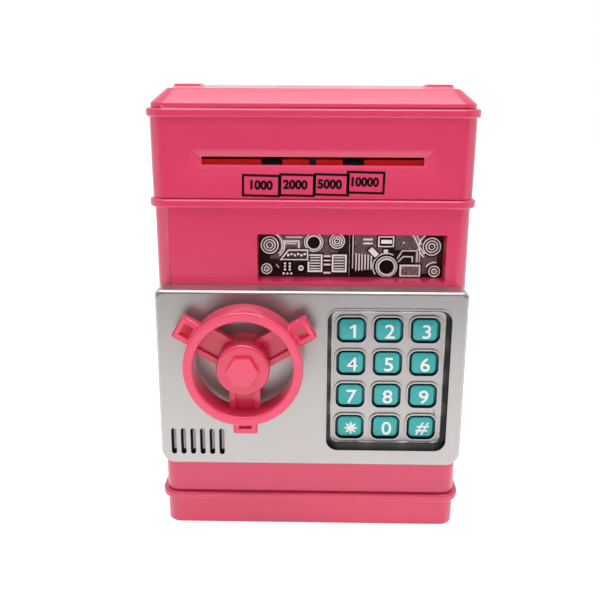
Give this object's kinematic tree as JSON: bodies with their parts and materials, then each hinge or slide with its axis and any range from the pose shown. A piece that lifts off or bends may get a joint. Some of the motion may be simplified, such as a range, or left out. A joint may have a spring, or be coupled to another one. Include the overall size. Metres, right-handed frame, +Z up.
{
  "type": "toy safe coin bank",
  "caption": "Toy safe coin bank: pink moulded case, hinged silver door with a number keypad and spoked handwheel latch, motor-fed banknote slot and a coin slot in the top.",
  "frame": {"origin": "centre of the case's footprint on the surface it stands on", "axes": "+X to the right of somebody who faces the door, +Y to the back of the case, +Z up"},
  "size_m": [0.13, 0.1266, 0.1882],
  "materials": {
    "pink_plastic": "moulded, satin to gloss",
    "silver_plastic": "silver-grey painted plastic, satin",
    "red_plastic": "moulded, gloss",
    "dark_red_plastic": "moulded",
    "teal_plastic": "moulded, satin",
    "dark_insert": "moulded relief, satin",
    "grey_plastic": "moulded",
    "white_plastic": "moulded",
    "black_plastic": "moulded",
    "black_rubber": "matt rubber",
    "grey_rubber": "matt silicone rubber",
    "circuit_board": "laminate with parts on it",
    "steel": "bright zinc",
    "cell_case": "plain wrapped cell",
    "motor_can": "plated can",
    "brass": "machined"
  },
  "bodies": {
    "case": {"base_tray": "pink_plastic", "body_shell": "pink_plastic", "top_cover": "pink_plastic", "rear_cover": "pink_plastic", "battery_cells": "cell_case", "battery_contacts": "steel", "relief_panel": "dark_insert", "vault_roof": "grey_plastic", "main_board": "circuit_board", "coin_chute": "grey_plastic", "feeder_frame": "dark_red_plastic", "gear_axles": "steel", "gear_side_plate": "grey_plastic", "motor": "motor_can", "note_switch": "black_plastic", "case_screws": "steel", "rear_screws": "steel", "inner_screws": "steel"},
    "door": {"door_front": "silver_plastic", "door_back_cover": "grey_plastic", "door_screws": "steel", "hinge_pins": "steel", "keypad_mat": "grey_rubber", "keypad_board": "circuit_board", "speaker": "black_plastic", "solenoid": "steel", "plunger_spring": "steel"},
    "handwheel": {"handwheel": "red_plastic", "wheel_shaft": "steel", "lock_disc": "white_plastic", "latch_arm": "steel", "arm_screw": "steel"},
    "lock_plunger": {"lock_plunger": "steel"},
    "battery_cover": {"battery_cover": "pink_plastic"},
    "feed_roller": {"feed_drum": "dark_red_plastic", "feed_tyres": "black_rubber", "feed_shaft": "steel", "feed_gear": "white_plastic"},
    "idler_roller": {"idler_drum": "dark_red_plastic", "idler_tyres": "black_rubber", "idler_shaft": "steel"},
    "transfer_gear": {"transfer_gear": "white_plastic"},
    "reduction_gear": {"reduction_gear": "white_plastic"},
    "motor_pinion": {"motor_pinion": "brass"},
    "note_lever": {"note_lever": "black_plastic"},
    "key_1": {"key_1": "teal_plastic"},
    "key_2": {"key_2": "teal_plastic"},
    "key_3": {"key_3": "teal_plastic"},
    "key_4": {"key_4": "teal_plastic"},
    "key_5": {"key_5": "teal_plastic"},
    "key_6": {"key_6": "teal_plastic"},
    "key_7": {"key_7": "teal_plastic"},
    "key_8": {"key_8": "teal_plastic"},
    "key_9": {"key_9": "teal_plastic"},
    "key_star": {"key_star": "teal_plastic"},
    "key_0": {"key_0": "teal_plastic"},
    "key_hash": {"key_hash": "teal_plastic"}
  },
  "joints": [
    {"name": "door_hinge", "type": "hinge", "parent": "case", "child": "door", "pos_m": [0.0588, -0.0534, 0.0717], "axis": [0, 0, 1], "range_deg": [0, 105]},
    {"name": "handwheel_turn", "type": "hinge", "parent": "door", "child": "handwheel", "pos_m": [-0.0262, -0.058, 0.082], "axis": [0, 1, 0], "range_deg": [0, 90]},
    {"name": "lock_plunger_slide", "type": "slide", "parent": "door", "child": "lock_plunger", "axis": [0, 0, 1], "range_m": [0, 0.0024], "stiffness_N_per_m": 60, "springref_m": -0.0005, "deforming": ["plunger_spring"]},
    {"name": "battery_cover_tilt", "type": "hinge", "parent": "case", "child": "battery_cover", "pos_m": [0, 0.0472, 0.0501], "axis": [-1, 0, 0], "range_deg": [0, 80]},
    {"name": "feed_roller_spin", "type": "hinge", "parent": "case", "child": "feed_roller", "pos_m": [0, -0.038, 0.1526], "axis": [-1, 0, 0], "continuous": true},
    {"name": "idler_roller_spin", "type": "hinge", "parent": "case", "child": "idler_roller", "pos_m": [0, -0.038, 0.1642], "axis": [-1, 0, 0], "continuous": true},
    {"name": "transfer_gear_spin", "type": "hinge", "parent": "case", "child": "transfer_gear", "pos_m": [0, -0.0282, 0.15541], "axis": [-1, 0, 0], "continuous": true},
    {"name": "reduction_gear_spin", "type": "hinge", "parent": "case", "child": "reduction_gear", "pos_m": [0, -0.01569, 0.15388], "axis": [-1, 0, 0], "continuous": true},
    {"name": "motor_spin", "type": "hinge", "parent": "case", "child": "motor_pinion", "pos_m": [0, -0.003, 0.15751], "axis": [-1, 0, 0], "continuous": true},
    {"name": "note_lever_swing", "type": "hinge", "parent": "case", "child": "note_lever", "pos_m": [0, -0.0443, 0.1675], "axis": [1, 0, 0], "range_deg": [0, 25], "stiffness_Nm_per_rad": 0.004},
    {"name": "key_1_press", "type": "slide", "parent": "door", "child": "key_1", "axis": [0, 1, 0], "range_m": [0, 0.0009], "stiffness_N_per_m": 400, "springref_m": -0.0005},
    {"name": "key_2_press", "type": "slide", "parent": "door", "child": "key_2", "axis": [0, 1, 0], "range_m": [0, 0.0009], "stiffness_N_per_m": 400, "springref_m": -0.0005},
    {"name": "key_3_press", "type": "slide", "parent": "door", "child": "key_3", "axis": [0, 1, 0], "range_m": [0, 0.0009], "stiffness_N_per_m": 400, "springref_m": -0.0005},
    {"name": "key_4_press", "type": "slide", "parent": "door", "child": "key_4", "axis": [0, 1, 0], "range_m": [0, 0.0009], "stiffness_N_per_m": 400, "springref_m": -0.0005},
    {"name": "key_5_press", "type": "slide", "parent": "door", "child": "key_5", "axis": [0, 1, 0], "range_m": [0, 0.0009], "stiffness_N_per_m": 400, "springref_m": -0.0005},
    {"name": "key_6_press", "type": "slide", "parent": "door", "child": "key_6", "axis": [0, 1, 0], "range_m": [0, 0.0009], "stiffness_N_per_m": 400, "springref_m": -0.0005},
    {"name": "key_7_press", "type": "slide", "parent": "door", "child": "key_7", "axis": [0, 1, 0], "range_m": [0, 0.0009], "stiffness_N_per_m": 400, "springref_m": -0.0005},
    {"name": "key_8_press", "type": "slide", "parent": "door", "child": "key_8", "axis": [0, 1, 0], "range_m": [0, 0.0009], "stiffness_N_per_m": 400, "springref_m": -0.0005},
    {"name": "key_9_press", "type": "slide", "parent": "door", "child": "key_9", "axis": [0, 1, 0], "range_m": [0, 0.0009], "stiffness_N_per_m": 400, "springref_m": -0.0005},
    {"name": "key_star_press", "type": "slide", "parent": "door", "child": "key_star", "axis": [0, 1, 0], "range_m": [0, 0.0009], "stiffness_N_per_m": 400, "springref_m": -0.0005},
    {"name": "key_0_press", "type": "slide", "parent": "door", "child": "key_0", "axis": [0, 1, 0], "range_m": [0, 0.0009], "stiffness_N_per_m": 400, "springref_m": -0.0005},
    {"name": "key_hash_press", "type": "slide", "parent": "door", "child": "key_hash", "axis": [0, 1, 0], "range_m": [0, 0.0009], "stiffness_N_per_m": 400, "springref_m": -0.0005}
  ],
  "couplings": [
    {"joint": "idler_roller_spin", "follows": "feed_roller_spin", "ratio": -1.1923},
    {"joint": "transfer_gear_spin", "follows": "feed_roller_spin", "ratio": -1.8333},
    {"joint": "reduction_gear_spin", "follows": "feed_roller_spin", "ratio": 4.5833},
    {"joint": "motor_spin", "follows": "feed_roller_spin", "ratio": -15.583}
  ]
}
